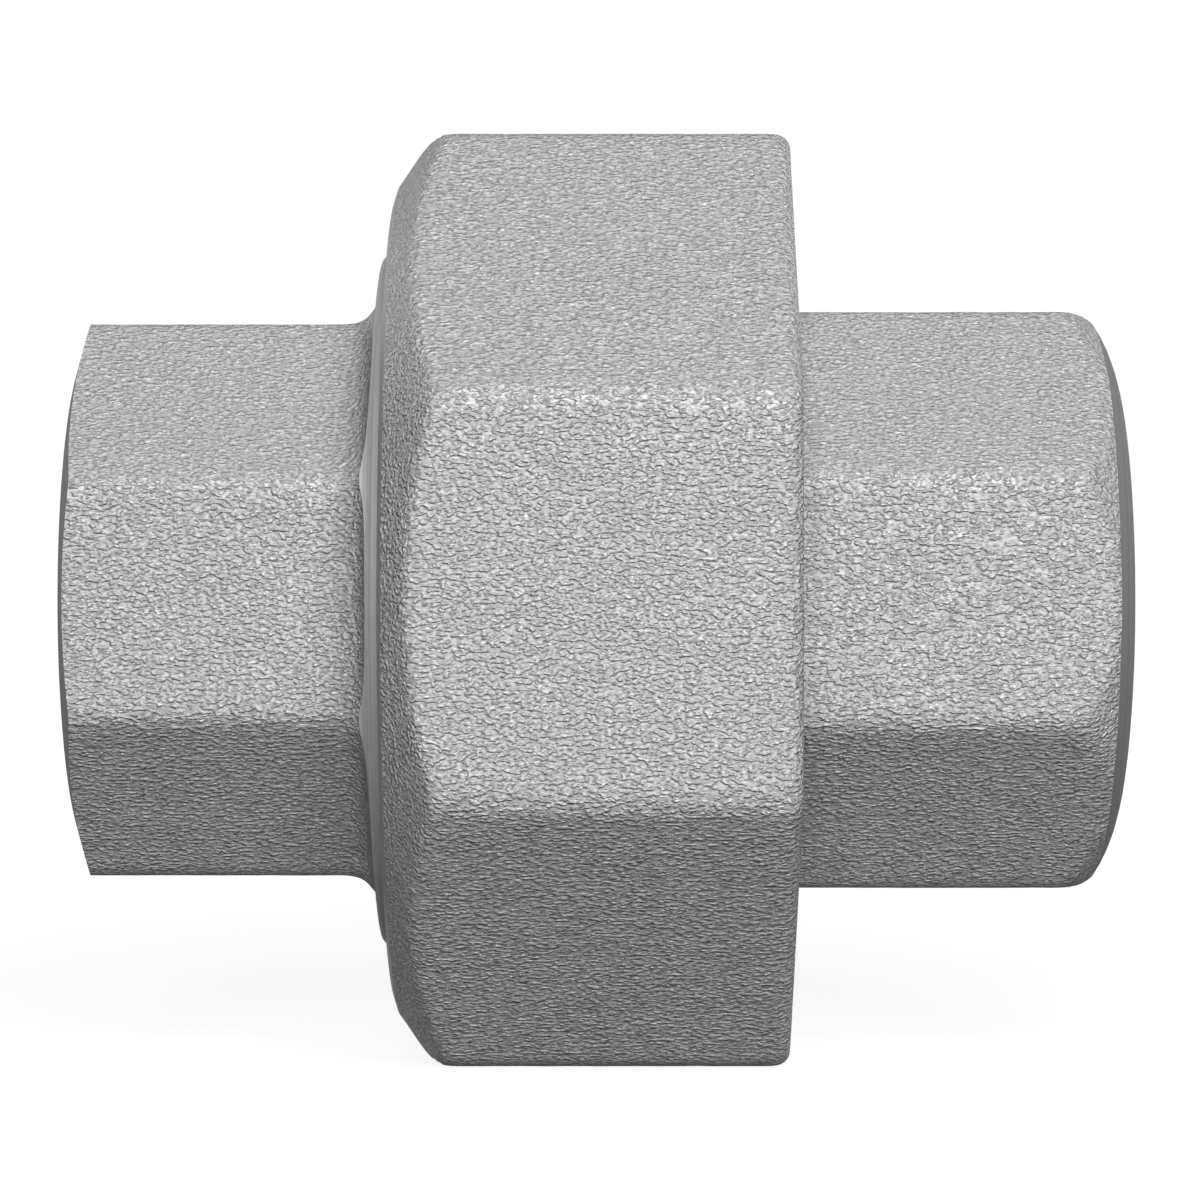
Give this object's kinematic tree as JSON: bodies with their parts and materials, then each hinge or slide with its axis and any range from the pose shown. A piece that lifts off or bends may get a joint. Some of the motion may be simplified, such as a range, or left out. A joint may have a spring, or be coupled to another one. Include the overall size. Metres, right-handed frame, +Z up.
{
  "type": "conical pipe union",
  "caption": "Threaded pipe union in cast stainless steel: a union nut draws a tail piece with a male cone onto a body with a conical seat, joining pipes that cannot be turned.",
  "frame": {"origin": "on the pipe axis, half way between the two end faces of the made-up union, which is the centre of its box", "axes": "+X along the pipe axis from the tail piece towards the body, +Z up, at right angles to the flat of the nut that the union rests on"},
  "size_m": [0.0476, 0.042, 0.042],
  "materials": {
    "cast_stainless": "investment-cast stainless steel, bead-blasted to a fine pebbled grey, with its sockets, seats and end faces machined"
  },
  "bodies": {
    "tail": {"tail_piece": "cast_stainless"},
    "nut": {"union_nut": "cast_stainless"},
    "body": {"union_body": "cast_stainless"}
  },
  "joints": [
    {"name": "nut_spin", "type": "hinge", "parent": "tail", "child": "nut", "pos_m": [0, 0, 0], "axis": [-1, 0, 0], "range_deg": [0, 2160]},
    {"name": "body_slide", "type": "slide", "parent": "tail", "child": "body", "axis": [1, 0, 0], "range_m": [0, 0.012]}
  ],
  "couplings": [
    {"joint": "body_slide", "follows": "nut_spin", "m_per_rad": 0.0003183}
  ]
}
